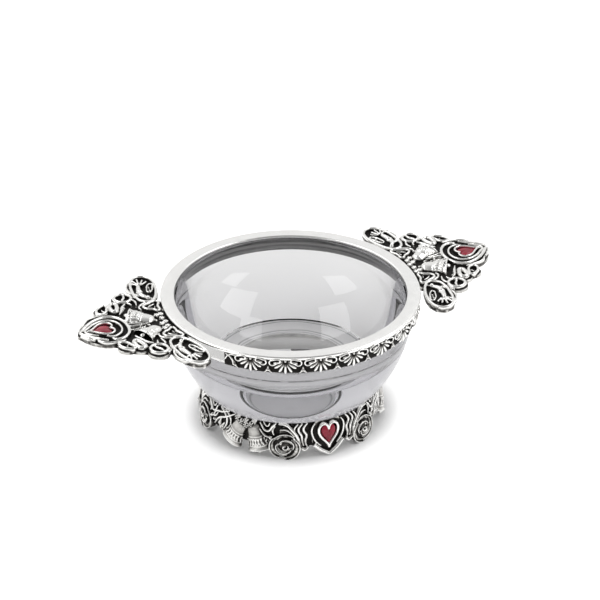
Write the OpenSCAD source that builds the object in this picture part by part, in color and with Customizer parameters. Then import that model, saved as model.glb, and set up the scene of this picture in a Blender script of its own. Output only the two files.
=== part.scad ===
// Two-handled drinking bowl: a heavy glass bowl in a cast pewter rim,
// with relief handles, a garland foot and red enamel hearts

/* [Glass bowl] */
// Outer diameter of the spherical glass
glass_d = 93.8; // [84:0.2:104]
// Wall of the glass at its lip
glass_lip = 2.2; // [1.5:0.1:3.5]
// Thickness of the heavy base under the floor
glass_base_t = 9; // [5:0.5:14]
// Height of the widest level above the flat base
glass_drop = 31.1; // [27:0.1:36]
// Rounding round the edge of the flat base
glass_base_round = 1.5; // [0.5:0.1:3]
// Squareness of the inner curve, where 2 is an ellipse
glass_inner_power = 2; // [1.8:0.05:2.4]

/* [Rim collar] */
// Height of the rim's top above the bowl's widest level
rim_rise = 7; // [5:0.1:10]
// Thickness of the flat polished flange
flange_t = 1.3; // [0.9:0.1:2]
// Overhang of the flange past the collar's wall
flange_out = 1.6; // [1:0.1:3]
// Rounding of the flange's two edges
flange_round = 0.5; // [0.2:0.05:0.6]
// Wall of the collar outside the glass
collar_wall = 1.3; // [0.8:0.1:2.5]
// Height of the collar's wall below the rim's top
collar_h = 7.2; // [5.5:0.1:10]
// Thickness of the cement between glass and metal
cement_t = 0.2; // [0.1:0.05:0.5]
// Soldering gap between the castings and the collar
solder_gap = 0.05; // [0.02:0.01:0.2]

/* [Handles] */
// Reach of a handle from the rim's edge to its tip
handle_reach = 35.5; // [30:0.5:44]
// Width of a handle across its side scrolls
handle_w = 49; // [44:1:58]
// Thickness of the plate under the relief
plate_t = 1.5; // [1:0.1:2.5]
// Drop of the plate's face below the rim's top
plate_drop = 1.6; // [1.5:0.1:3]
// Rise of a handle towards its tip, in degrees
handle_tilt = 2.5; // [0:0.5:6]
// Width of a raised scroll at its root
scroll_w = 1.3; // [0.8:0.1:2]
// Height of a raised scroll above the plate
scroll_h = 1.3; // [0.8:0.1:2]
// Distance from the handle's centre line to the middle of a dove roundel
roundel_out = 25.6; // [24:0.2:28]
// Length of a dove roundel along the rim
roundel_l = 20; // [17:0.5:22]
// Width of a dove roundel away from the rim
roundel_w = 11; // [9:0.5:13]
// Gap between a roundel and the rim's edge
roundel_gap = 0.8; // [0.2:0.1:1.2]
// Turn of a roundel from the rim's line towards straight across the handle, in degrees
roundel_turn = 18; // [6:1:24]
// Length of a handle's bell
handle_bell_l = 9.4; // [8.4:0.2:10.4]
// Diameter of a handle bell's mouth
handle_bell_d = 9.8; // [8.4:0.2:10.6]
// Height of a handle's bell above the plate
handle_bell_h = 2.8; // [2.2:0.1:3.2]

/* [Enamel hearts] */
// Length of a handle's heart
handle_heart_l = 7.8; // [6.6:0.2:8.8]
// Width of a handle's heart
handle_heart_w = 6.8; // [5.8:0.2:7.8]
// Length of a foot heart
foot_heart_l = 8.8; // [7.4:0.2:9.6]
// Width of a foot heart
foot_heart_w = 6.4; // [5:0.2:7.4]
// Width of the metal border round an enamel heart
heart_border = 1; // [0.6:0.1:1.4]
// Depth of the enamel at its edge
enamel_t = 0.7; // [0.4:0.1:1.2]
// Rise of the enamel's dome above its edge
enamel_dome = 0.6; // [0.3:0.1:1]
// Gap between the enamel and its border
enamel_gap = 0.05; // [0.02:0.01:0.2]

/* [Foot] */
// Height of the foot
foot_h = 15.2; // [13:0.2:18]
// Step from the flat of the glass base in to the foot's wall
foot_inset = 0.8; // [0:0.1:2]
// Wall of the foot
foot_wall = 2; // [1.4:0.1:3]
// Outward flare of the wall from its top to the table
foot_flare = 1.2; // [0.4:0.1:2]
// Width of the ledge that carries the glass
ledge_w = 10; // [6:0.5:14]
// Thickness of the ledge
ledge_t = 1.6; // [1.2:0.1:2.4]
// Height of the wall's lower edge above the table
foot_lift = 4.4; // [3:0.2:6]
// Diameter of a rose
rose_d = 10.2; // [8.4:0.2:11.4]
// Thickness of a rose in front of the wall
rose_t = 1.8; // [1.2:0.1:2.4]
// Length of a foot bell
foot_bell_l = 11.5; // [10:0.5:13]
// Diameter of a foot bell's mouth
foot_bell_d = 6.6; // [5:0.2:8]
// Height of a foot bell in front of the wall
foot_bell_h = 2.3; // [1.8:0.1:2.8]
// Thickness of a heart's tile in front of the wall
tile_t = 1; // [0.7:0.1:1.6]

/* [Gallery bands] */
// Number of fan motifs in each band
band_motifs = 7; // [5:1:9]
// Thickness of the band's ground
band_t = 0.5; // [0.3:0.1:1]
// Height of the band's ground
band_h = 4.6; // [3.5:0.1:6]
// Relief of the fans in front of the ground
fan_relief = 1.7; // [1:0.1:2]
// Height of a fan from its top to its lowest petal
fan_h = 6.6; // [5:0.1:8]

/* [Hidden] */

// Heights, from the table up
base_z = foot_h + cement_t;
wide_z = base_z + glass_drop;
rim_z = wide_z + rim_rise;
lip_z = rim_z - flange_t - cement_t;
floor_z = base_z + glass_base_t;
collar_z = rim_z - collar_h;
face_z = rim_z - plate_drop;
band_top = rim_z - flange_t - solder_gap;

// Radii, from the axis out
glass_r = glass_d / 2;
mouth_r = glass_r - glass_lip;
rebate_r = glass_r + cement_t;
collar_r = rebate_r + collar_wall;
rim_r = collar_r + flange_out;
base_round_r = sqrt((glass_r - glass_base_round) ^ 2 - (glass_drop - glass_base_round) ^ 2);
foot_r = base_round_r - foot_inset;
ledge_r = foot_r - ledge_w;
foot_lean = atan(foot_flare / foot_h);
// Angle from the handle's centre line to a dove roundel
roundel_angle = asin(roundel_out / (rim_r + roundel_gap + roundel_w / 2));

// Pieces sink this far into the casting that carries them
root = 0.4;
// Height of a raised line's upright walls, as a share of its height
wall_share = 0.4;
// Flat on top of a bell or a dove, as a share of its width
bell_flat = 0.4;
// Length of the border round an enamel heart
function frame_length(l) = l + 2.8 * (enamel_gap + heart_border);
// Handle layout, drawn for a reach of 35.5 and a width of 49
reach_k = handle_reach / 35.5;
width_k = handle_w / 49;
// Middle of a handle's heart, from the rim's edge
heart_s = 27;
// Middle of a handle's end curl, and the crown and turn of each of its bells
curl_at = [11.9, 20.6];
handle_bells = [[[5.2, -1.5], -33], [[5.4, 4], 30]];
// Foot layout: one third of the ring, in millimetres along the wall from the heart
heart_angles = [-90, 30, 150];
rose_u = 15.6;
bells_u = -31.2;
// Height of a foot heart's middle above the table
foot_heart_v = foot_h - root - frame_length(foot_heart_l) / 2;
band_end_gap = 1.5;

// Curves

// Point on a smooth curve through four neighbours
function blend_point(a, b, c, d, t) =
    0.5 * (2 * b + (c - a) * t
        + (2 * a - 5 * b + 4 * c - d) * t ^ 2
        + (3 * b - a - 3 * c + d) * t ^ 3);
// Smooth closed curve through a few points
function smooth_loop(p, steps = 2) =
    let (n = len(p))
    [for (i = [0:n - 1], j = [0:steps - 1])
        blend_point(p[(i + n - 1) % n], p[i], p[(i + 1) % n], p[(i + 2) % n], j / steps)];
// Half outline joined to its own mirror image across the X axis
function both_sides(half) =
    concat(half, [for (i = [len(half) - 1:-1:0]) if (half[i][1] != 0) [half[i][0], -half[i][1]]]);
function spiral(centre, r0, r1, a0, a1, steps) =
    [for (i = [0:steps])
        let (k = i / steps, a = a0 + (a1 - a0) * k, r = r0 + (r1 - r0) * k)
        centre + r * [cos(a), sin(a)]];
function oval(l, w, steps) =
    [for (i = [0:steps - 1]) let (a = 360 * i / steps) [w / 2 * cos(a), l / 2 * sin(a)]];
// Heart with its point towards -Y, in a box of the given width and length about the origin
function heart(w, l, steps = 16) =
    [for (i = [0:steps - 1])
        let (t = 360 * i / steps, y = 13 * cos(t) - 5 * cos(2 * t) - 2 * cos(3 * t) - cos(4 * t))
        [w * sin(t) ^ 3 / 2, l * (y + 2.53) / 28.9]];

// Relief

function at(v, i) = is_list(v) ? v[i] : v;
// Section of a raised line: upright walls under a ridge, or under a flat of the given share of its width
function section(w, h, flat) =
    let (top = flat > 0 ? [[flat * w / 2, h], [-flat * w / 2, h]] : [[0, h]])
    concat([[w / 2, -root], [w / 2, wall_share * h]], top, [[-w / 2, wall_share * h], [-w / 2, -root]]);
// Unit vector to the left of a path
function left_of(path, i, loop) =
    let (n = len(path),
         a = loop ? path[(i + n - 1) % n] : path[max(i - 1, 0)],
         b = loop ? path[(i + 1) % n] : path[min(i + 1, n - 1)],
         d = b - a)
    [-d[1], d[0]] / norm(d);
// Raised line along a plane path, of one width and height or of one for each point;
// place() puts each of its points on the casting
module raised(path, w, h, place, loop = false, flat = 0) {
    n = len(path);
    m = len(section(1, 1, flat));
    points = [for (i = [0:n - 1], c = section(at(w, i), at(h, i), flat))
        let (p = path[i] + left_of(path, i, loop) * c[0]) place([p[0], p[1], c[1]])];
    sides = [for (i = [0:n - (loop ? 1 : 2)], k = [0:m - 1])
        let (a = m * i, b = m * ((i + 1) % n), l = (k + 1) % m)
        each [[a + k, b + k, b + l], [a + k, b + l, a + l]]];
    ends = loop ? [] : [[for (k = [0:m - 1]) k], [for (k = [m - 1:-1:0]) m * (n - 1) + k]];
    polyhedron(points, concat(sides, ends));
}
// Bell from its crown to its mouth
module bell(crown, turn, l, d, h, place) {
    along = [0, 0.12, 0.24, 0.68, 0.9, 1];
    across = [0.2, 0.3, 0.6, 0.7, 1, 0.98];
    raised([for (k = along) crown + k * l * [cos(turn), sin(turn)]], d * across, h * across, place,
        flat = bell_flat);
}
// Closed solid through rings of points, each ring clockwise from above
module stacked(rings) {
    n = len(rings[0]);
    last = n * (len(rings) - 1);
    points = [for (r = rings) each r];
    sides = [for (r = [0:n:last - n], i = [0:n - 1])
        let (j = (i + 1) % n) each [[r + i, r + j, r + n + j], [r + i, r + n + j, r + n + i]]];
    polyhedron(points, concat(sides, [[for (i = [n - 1:-1:0]) i], [for (i = [0:n - 1]) last + i]]));
}
// Five-petalled flower standing on z = 0
module flower(d, h) {
    steps = [[1, -root], [1, 0.5 * h], [0.62, h], [0.3, 0.7 * h]];
    stacked([for (s = steps) [for (i = [0:9])
        let (a = -36 * i, r = 0.5 * d * s[0] * (0.84 + 0.16 * cos(5 * a)))
        [r * cos(a), r * sin(a), s[1]]]]);
}
// Metal border round an enamel heart
module heart_frame(w, l, h) {
    outer = enamel_gap + heart_border;
    linear_extrude(h) difference() {
        polygon(heart(w + 2.2 * outer, frame_length(l)));
        polygon(heart(w + 2.2 * enamel_gap, l + 2.2 * enamel_gap));
    }
}
// Enamel heart with a domed face, its back on z = 0
module enamel(w, l) {
    steps = [[1, 0], [1, enamel_t],
             [0.72, enamel_t + 0.75 * enamel_dome], [0.3, enamel_t + enamel_dome]];
    stacked([for (s = steps) [for (p = heart(w * s[0], l * s[0])) [p[0], p[1], s[1]]]]);
}

// Glass

// Points on the outer sphere between two heights
function sphere_arc(z0, z1, steps) =
    let (a0 = asin((z0 - wide_z) / glass_r), a1 = asin((z1 - wide_z) / glass_r))
    [for (i = [0:steps])
        let (a = a0 + (a1 - a0) * i / steps)
        [glass_r * cos(a), wide_z + glass_r * sin(a)]];
module glass_bowl() {
    round_z = base_z + glass_base_round;
    round_end = atan2(wide_z - round_z, base_round_r);
    base_edge = [for (i = [0:6]) let (a = -90 + (90 - round_end) * i / 6)
        [base_round_r + glass_base_round * cos(a), round_z + glass_base_round * sin(a)]];
    outside = sphere_arc(base_edge[6][1], lip_z, 24);
    squareness = 2 / glass_inner_power;
    inside = [for (i = [0:18]) let (a = 5 * i)
        [mouth_r * cos(a) ^ squareness, lip_z - (lip_z - floor_z) * sin(a) ^ squareness]];
    color("gainsboro", 0.5) rotate_extrude($fn = 96)
        polygon(concat([[0, base_z]], base_edge, [for (i = [1:24]) outside[i]], inside));
}
module rim_cement() {
    color("whitesmoke") rotate_extrude($fn = 96)
        polygon(concat(sphere_arc(collar_z, lip_z, 8),
            [[mouth_r, lip_z], [mouth_r, lip_z + cement_t],
             [rebate_r, lip_z + cement_t], [rebate_r, collar_z]]));
}
module foot_cement() {
    color("whitesmoke") translate([0, 0, foot_h]) rotate_extrude($fn = 96)
        translate([ledge_r, 0]) square([foot_r - ledge_r, cement_t]);
}

// Rim

module rim_collar() {
    low = rim_z - flange_t;
    corner = [for (i = [0:4]) flange_round * [cos(22.5 * i), sin(22.5 * i)]];
    outer_edge = [for (c = corner) [rim_r - flange_round + c[0], rim_z - flange_round + c[1]]];
    inner_edge = [for (i = [4:-1:0])
        [mouth_r + flange_round - corner[i][0], rim_z - flange_round + corner[i][1]]];
    color("white") rotate_extrude($fn = 96)
        polygon(concat([[rebate_r, collar_z], [collar_r, collar_z], [collar_r, low], [rim_r, low]],
            outer_edge, inner_edge, [[mouth_r, low], [rebate_r, low]]));
}
// Point of a band: x along the collar's wall, y up from the flange's underside, z out from the ground
function on_collar(p) =
    let (a = p[0] / collar_r * 180 / PI, r = collar_r + band_t + p[2])
    [r * cos(a), r * sin(a), band_top + p[1]];
// Small curled knob on a band
module knob(x, y, d) {
    rotate(x / collar_r * 180 / PI) translate([collar_r + band_t - root / 2, 0, band_top + y])
        rotate([0, 90, 0]) hull() cylinder(d1 = d, d2 = 0.5 * d, h = 0.8 * fan_relief, $fn = 6);
}
// One fan: two curled shoulders over a shell of five petals, with a leaf between it and the next
module fan(pitch) {
    hub = [0, -0.2 * fan_h];
    for (k = [-1, 1]) knob(k * 0.32 * pitch, hub[1], 0.32 * pitch);
    // Each ring of the shell: share of the reach, height of the petals, height of the grooves
    rings = [[1, -root, -root], [1, 0.3 * fan_relief, 0.12 * fan_relief],
             [0.66, fan_relief, 0.55 * fan_relief], [0.14, 0.7 * fan_relief, 0.6 * fan_relief]];
    stacked([for (r = rings) concat(
        [for (i = [0:10])
            let (a = 64 - 12.8 * i,
                 petal = i % 2,
                 longest = 0.8 * fan_h * (petal ? 1 : 0.86),
                 reach = r[0] * longest * (0.8 + 0.2 * cos(1.4 * a)))
            on_collar([hub[0] + reach * sin(a), hub[1] - reach * cos(a), petal ? r[1] : r[2]])],
        [on_collar([hub[0], hub[1] + 0.5 * root, r[2]])])]);
    raised([[0.5 * pitch, -0.36 * fan_h], [0.5 * pitch, -0.8 * fan_h]], [0.26 * pitch, 0.08 * pitch],
        [0.6, 0.3] * fan_relief, function (p) on_collar(p));
}
// Cast strip between the handles, centred on +X
module band() {
    half = 90 - asin((roundel_l / 2) / (rim_r + roundel_w / 2)) - roundel_angle - band_end_gap;
    pitch = 2 * half * PI / 180 * collar_r / band_motifs;
    color("lightgray") union() {
        translate([0, 0, band_top - band_h]) rotate(-half) rotate_extrude(angle = 2 * half, $fn = 60)
            translate([collar_r + solder_gap, 0]) square([band_t - solder_gap, band_h]);
        for (i = [0:band_motifs - 1]) rotate(-half + 2 * half * (i + 0.5) / band_motifs) fan(pitch);
    }
}
module front_band() { rotate(-90) band(); }
module back_band() { rotate(90) band(); }

// Handles

// Point of a handle: x out from the rim's edge, y across, z up from the plate's face
function on_handle(p) = [rim_r + p[0] * reach_k, p[1] * width_k, face_z + p[2]];
// Point of a dove roundel: x away from the rim, y along it towards its far end
function on_roundel(p) =
    let (r = rim_r + roundel_gap + roundel_w / 2, a = roundel_angle, t = roundel_angle - roundel_turn)
    [r * cos(a) + p[0] * cos(t) - p[1] * sin(t), r * sin(a) + p[0] * sin(t) + p[1] * cos(t), face_z + p[2]];
// Dove with its head towards the handle's middle, two wings and a fanned tail
module dove() {
    l = roundel_l;
    w = roundel_w;
    on_oval = function (p) on_roundel(p);
    raised([[0.1 * w, -0.4 * l], [0.1 * w, -0.34 * l], [0.1 * w, -0.26 * l],
            [0.08 * w, -0.1 * l], [0, 0.2 * l]],
        w * [0.1, 0.19, 0.15, 0.3, 0.12], scroll_h * [0.8, 1.5, 1.2, 1.6, 0.9], on_oval, flat = bell_flat);
    raised([[-0.04 * w, -0.18 * l], [-0.2 * w, -0.02 * l], [-0.3 * w, 0.22 * l]],
        w * [0.12, 0.26, 0.1], scroll_h * [1, 1.3, 0.7], on_oval, flat = bell_flat);
    raised([[0.22 * w, -0.16 * l], [0.29 * w, 0], [0.24 * w, 0.2 * l]],
        w * [0.1, 0.18, 0.08], scroll_h * [0.9, 1.2, 0.6], on_oval, flat = bell_flat);
    for (k = [-1:1])
        raised([[0.04 * k * w, 0.18 * l], [0.17 * k * w - 0.03 * w, 0.4 * l]],
            w * [0.08, 0.15], scroll_h * [0.7, 0.9 + 0.1 * k], on_oval);
}
// Scrolls and figures on the +Y half of a handle
module half_relief() {
    on_plate = function (p) on_handle(p);
    // Teardrop leaf, round leaf, end curl, its stem and the bow's loop
    raised(smooth_loop([[14.6, 18.4], [17.6, 17.6], [18.4, 10.4], [15, 14.2]]),
        scroll_w, 0.9 * scroll_h, on_plate, loop = true);
    raised(smooth_loop([[19.8, 16.2], [23.4, 14.8], [23.6, 12.2], [20.4, 13]]),
        scroll_w, 0.95 * scroll_h, on_plate, loop = true);
    raised(concat([[7, 14], [8.2, 16.8]], spiral(curl_at, 3.5, 1.5, 180, -140, 8)),
        scroll_w, scroll_h, on_plate);
    raised([[9.6, 16.2], [14.2, 12.8], [16, 9.4]], scroll_w, 0.8 * scroll_h, on_plate);
    raised([[0.9, 15], [4.2, 14], [6.4, 11.6], [3.6, 9.8], [1.2, 7.4]],
        scroll_w, 0.85 * scroll_h, on_plate, loop = true);
    // Border of the roundel
    raised(oval(roundel_l - 1.6 * scroll_w, roundel_w - 1.6 * scroll_w, 14),
        scroll_w, 1.05 * scroll_h, function (p) on_roundel(p), loop = true);
    dove();
}
module lobe(s, t, r) { translate([rim_r + s * reach_k, t * width_k]) circle(r, $fn = 16); }
// Rounded lobe of the plate from one place to another
module lobes(a, b) {
    hull() {
        lobe(a[0], a[1], a[2]);
        lobe(b[0], b[1], b[2]);
    }
}
// A handle's tilt, about the rim's edge
module tilted() {
    translate([rim_r, 0, face_z]) rotate([0, -handle_tilt, 0]) translate([-rim_r, 0, -face_z]) children();
}
// Outline of a plate behind its scrolls
module plate() {
    lobes([23.6, 0, 11.2], [35, 0, 1.1]);
    lobes([0.4, 0, 8.2], [22, 0, 8]);
    for (k = [-1, 1]) {
        lobes([2.6, k * 13, 5.4], [14, k * 12, 4]);
        lobes([8.4, k * 16, 3.6], [curl_at[0], k * curl_at[1], 4.3]);
        lobes([14, k * 12, 4], [16.6, k * 16, 3.7]);
        lobes([18, k * 8, 4], [21.6, k * 14, 3.4]);
        rotate(k * roundel_angle) translate([rim_r + roundel_gap + roundel_w / 2, 0])
            rotate(-k * roundel_turn) polygon(oval(roundel_l, roundel_w, 18));
    }
}
// Casting of one handle, pointing along +X
module handle() {
    heart_ring = both_sides([[18.2, 0], [18.8, 3.4], [20.8, 5.9], [23.8, 7],
                             [27.2, 6.2], [30.6, 3.8], [33.4, 0]]);
    edge = [[16, 5.6], [17.4, 8.2], [20.5, 10.2], [24.5, 10.3], [28.8, 8.5], [32, 5.4], [35, 0]];
    color("silver") difference() {
        tilted() {
            translate([0, 0, face_z - plate_t]) linear_extrude(plate_t) plate();
            for (k = [0, 1]) mirror([0, k, 0]) half_relief();
            for (b = handle_bells)
                bell(b[0], b[1], handle_bell_l, handle_bell_d, handle_bell_h, function (p) on_handle(p));
            raised(heart_ring, scroll_w, scroll_h, function (p) on_handle(p), loop = true);
            raised(both_sides(edge), scroll_w, 0.92 * scroll_h, function (p) on_handle(p));
            translate(on_handle([2.6, 0, 0])) flower(5.4, 1.2 * scroll_h);
            translate([rim_r + heart_s * reach_k, 0, face_z - root]) rotate(90)
                heart_frame(handle_heart_w, handle_heart_l, root + enamel_t + 0.8 * enamel_dome);
        }
        // The casting reaches under the flange to the collar's wall and stands clear of the flange's edge
        translate([0, 0, collar_z]) cylinder(r = collar_r + solder_gap, h = 2 * collar_h, $fn = 90);
        translate([0, 0, band_top]) cylinder(r = rim_r + solder_gap, h = collar_h, $fn = 90);
    }
}
module right_handle() { handle(); }
module left_handle() { rotate(180) handle(); }
module handle_heart() {
    color("firebrick") tilted() translate([rim_r + heart_s * reach_k, 0, face_z]) rotate(90)
        enamel(handle_heart_w, handle_heart_l);
}
module right_handle_heart() { handle_heart(); }
module left_handle_heart() { rotate(180) handle_heart(); }

// Foot

function foot_skin(v) = foot_r + foot_flare * (1 - v / foot_h);
// Point of the foot's wall: x along it from a heart, y up from the table, z outwards
function on_foot(p) =
    let (a = p[0] / foot_r * 180 / PI, r = foot_skin(p[1]) + p[2]) [r * cos(a), r * sin(a), p[1]];
// Flat frame standing on the wall: x along it, y up, z outwards
module on_foot_at(u, v) {
    rotate(u / foot_r * 180 / PI) translate([foot_skin(v), 0, v])
        rotate([90, 0, 90]) rotate([-foot_lean, 0, 0]) children();
}
// Round rose with its petals wound in a spiral
module rose() {
    hull() {
        translate([0, 0, -rose_t]) cylinder(d = rose_d, h = 1.2 * rose_t, $fn = 12);
        cylinder(d = 0.8 * rose_d, h = rose_t, $fn = 12);
    }
    translate([0, 0, rose_t]) raised(spiral([0, 0], 0.36 * rose_d, 0.06 * rose_d, 0, 560, 11),
        0.7 * scroll_w, 0.5 * scroll_h, function (p) p);
}
// Shield-shaped tile behind a foot heart, its point on the table
module heart_tile() {
    half_w = foot_heart_w / 2 + heart_border + 2.2;
    top = foot_h - foot_heart_v - root;
    low = -0.36 * foot_h;
    tip = -foot_heart_v - root;
    hull() translate([0, 0, -tile_t]) linear_extrude(2 * tile_t)
        polygon([[0.7 * half_w, top], [half_w, 0.3 * top], [0.84 * half_w, low], [0, tip],
                 [-0.84 * half_w, low], [-half_w, 0.3 * top], [-0.7 * half_w, top]]);
    translate([0, 0, tile_t]) for (k = [-1, 1]) {
        raised([[0.66 * k * half_w, top - root], [0.92 * k * half_w, 0.3 * top],
                [0.78 * k * half_w, 0.9 * low]],
            0.6 * scroll_w, 0.5 * scroll_h, function (p) p);
        raised([[0.74 * k * half_w, low], [0.3 * k * scroll_w, tip + 1.4 * scroll_w]],
            scroll_w, (0.9 + 0.04 * k) * scroll_h, function (p) p);
    }
}
// One third of the garland, about a heart
module garland() {
    on_wall = function (p) on_foot(p);
    on_foot_at(0, foot_heart_v) {
        heart_tile();
        translate([0, 0, tile_t - root])
            heart_frame(foot_heart_w, foot_heart_l, root + enamel_t + 0.5 * enamel_dome);
    }
    for (k = [-1, 1]) {
        on_foot_at(k * rose_u, rose_d / 2 - root) rose();
        for (s = [0, 1.7])
            raised([[k * (7.8 + s), 14.4], [k * (9 + s), 9], [k * (8.2 + s), 3.6]], 0.7 * scroll_w,
                (0.8 + 0.1 * s) * scroll_h, on_wall);
        raised([[k * 11.6, 14.3], [k * 17, 12.8], [k * 21.4, 8.4]], scroll_w, 0.9 * scroll_h, on_wall);
    }
    for (k = [-1, 1])
        bell([bells_u + 1.4 * k, foot_h - 3], -90 + 25 * k, foot_bell_l, foot_bell_d, foot_bell_h, on_wall);
    on_foot_at(bells_u, foot_h - 3) flower(5, 1.5 * scroll_h);
    raised([[-20, 14.2], [-23.6, 11.4], [-26, 6.6]], scroll_w, 0.95 * scroll_h, on_wall);
    raised([[-39, 12.4], [-44, 10.8], [-49.4, 13.4]], scroll_w, 0.85 * scroll_h, on_wall);
    raised([[-44.6, 10.2], [-47.2, 7.6], [-46.8, 4.8]], scroll_w, scroll_h, on_wall);
}
module foot() {
    color("gray") difference() {
        union() {
            rotate_extrude($fn = 48) polygon([
                [ledge_r, foot_h - ledge_t], [ledge_r, foot_h], [foot_r, foot_h],
                [foot_skin(foot_lift), foot_lift], [foot_skin(foot_lift) - foot_wall, foot_lift],
                [foot_r - foot_wall, foot_h - ledge_t]]);
            for (a = heart_angles) rotate(a) garland();
        }
        translate([0, 0, -foot_h]) cylinder(r = 2 * foot_r, h = foot_h, $fn = 4);
    }
}
module foot_heart(a) {
    color("crimson") rotate(a) on_foot_at(0, foot_heart_v) translate([0, 0, tile_t])
        enamel(foot_heart_w, foot_heart_l);
}
module foot_heart_front() { foot_heart(heart_angles[0]); }
module foot_heart_right() { foot_heart(heart_angles[1]); }
module foot_heart_left() { foot_heart(heart_angles[2]); }

glass_bowl();
rim_cement();
rim_collar();
front_band();
back_band();
right_handle();
left_handle();
right_handle_heart();
left_handle_heart();
foot_cement();
foot();
foot_heart_front();
foot_heart_right();
foot_heart_left();
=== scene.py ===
import math
import bmesh
import bpy
import numpy as np
from mathutils import Matrix, Vector


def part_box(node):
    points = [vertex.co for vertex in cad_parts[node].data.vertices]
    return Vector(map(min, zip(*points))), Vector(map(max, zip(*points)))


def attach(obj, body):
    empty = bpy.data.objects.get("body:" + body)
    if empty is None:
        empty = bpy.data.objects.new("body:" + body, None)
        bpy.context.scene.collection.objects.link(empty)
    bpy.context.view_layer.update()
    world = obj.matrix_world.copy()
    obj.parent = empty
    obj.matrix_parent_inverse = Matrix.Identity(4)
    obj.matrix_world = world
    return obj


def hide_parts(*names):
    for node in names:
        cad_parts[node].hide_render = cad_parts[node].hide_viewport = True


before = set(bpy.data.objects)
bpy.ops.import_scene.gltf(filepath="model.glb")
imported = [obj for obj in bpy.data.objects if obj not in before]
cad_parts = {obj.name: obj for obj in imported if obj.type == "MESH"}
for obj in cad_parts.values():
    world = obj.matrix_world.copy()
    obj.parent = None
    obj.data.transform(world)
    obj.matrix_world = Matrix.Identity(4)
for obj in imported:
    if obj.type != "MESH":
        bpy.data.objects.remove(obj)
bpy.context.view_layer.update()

# Sizes, in millimetres in the frame of the bowl: +X along the handles, +Z up, the table at z = 0
MM = 0.001
ROOT = "root"


def box_mm(node):
    low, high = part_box(node)
    return low / MM, high / MM


rim_low, rim_high = box_mm("rim_collar")
glass_low, glass_high = box_mm("glass_bowl")
foot_high = box_mm("foot")[1]
seat_high = box_mm("foot_cement")[1]
band_high = box_mm("front_band")[1]
round_steps = 192
solder = 0.05

# Rim and glass
rim_r = rim_high.x
rim_z = rim_high.z
flange_t = 1.3
collar_wall = 1.3
edge_r = 0.5
under_edge_r = 0.4
glass_r = 46.9
glass_lip = 2.2
setting_air = 0.06
base_bond = 0.03
glass_base_z = glass_low.z - base_bond
glass_base_t = 9 + base_bond
glass_base_round = 0.5
glass_lip_z = glass_high.z
glass_wide_z = rim_z - 7
mouth_r = glass_r - glass_lip
rebate_r = glass_r + 0.2
collar_r = rebate_r + collar_wall

# Foot
foot_h = foot_high.z
foot_r = seat_high.x
foot_flare = 1.2
foot_wall = 2
foot_lift = 4.4
ledge_t = 1.6
ledge_r = foot_r - 10
heart_angles = [-90, 30, 150]
foot_heart = (5.8, 8.1)
foot_heart_v = 9.0
foot_dome = 0.95
foot_chamfer = 0.3
foot_steps = 180
tile_t = 1.0
seat_edge = 0.35
seat_polish = 0.8
blackened = 0.12

# Handles and bands
plate_t = 1.5
plate_drop = 1.6
face_z = rim_z - plate_drop
handle_tilt = math.radians(2.5)
handle_heart_x = rim_r + 27
handle_heart = (6.8, 7.8)
handle_heart_fullness = 0.55
handle_dome = 0.6
enamel_t = 0.7
heart_steps = 72
band_ground = collar_r + 0.5
band_top = band_high.z

# Castings: the grid that each is remade on, the height of its relief, and how much duller it is
handle_voxel = 0.252
handle_relief = 1.5
band_voxel = 0.19
band_relief = 2.1
band_shade = 0.22
garland_voxel = 0.21
garland_relief = 3.2
garland_shade = 0.08


# Shared shapes

def mesh_piece(name, shape, material):
    """A finished piece from a bmesh in millimetres, riding on the one rigid body."""
    mesh = bpy.data.meshes.new(name)
    shape.to_mesh(mesh)
    shape.free()
    mesh.transform(Matrix.Scale(MM, 4))
    mesh.shade_smooth()
    piece = bpy.data.objects.new(name, mesh)
    bpy.context.scene.collection.objects.link(piece)
    piece.data.materials.append(material)
    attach(piece, ROOT)
    return piece


def turned(outline, steps):
    """A turned solid from its outline of radius and height, which starts and ends on the axis or closes."""
    shape = bmesh.new()
    ring = [shape.verts.new((r, 0, z)) for r, z in outline]
    closed = outline[0][0] > 0
    edges = [shape.edges.new((a, b)) for a, b in zip(ring, ring[1:] + (ring[:1] if closed else []))]
    bmesh.ops.spin(shape, geom=ring + edges, axis=(0, 0, 1), cent=(0, 0, 0), angle=2 * math.pi,
                   steps=steps, use_merge=True)
    bmesh.ops.remove_doubles(shape, verts=shape.verts, dist=1e-4)
    bmesh.ops.recalc_face_normals(shape, faces=shape.faces)
    return shape


def arc(cx, cz, r, start, end, steps):
    """Points on an arc in an outline, with its angles in degrees."""
    turns = [math.radians(start + (end - start) * i / steps) for i in range(steps + 1)]
    return [(cx + r * math.cos(a), cz + r * math.sin(a)) for a in turns]


def heart_point(t, width, length, fullness):
    """A point on a heart of a width and length with its tip towards -Y. Fullness fills its notch."""
    y = 13 * math.cos(t) - 5 * math.cos(2 * t) - 2 * math.cos(3 * t) - math.cos(4 * t)
    y += 7 * fullness * max(math.cos(t), 0) ** 6
    return width * math.sin(t) ** 3 / 2, length * (y + 2.53) / 28.9


def heart_line(width, length, steps, fullness=0.0):
    return [heart_point(2 * math.pi * i / steps, width, length, fullness) for i in range(steps)]


# Relief: every ornament is drawn flat in millimetres, as x, y and height over the ground

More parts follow.
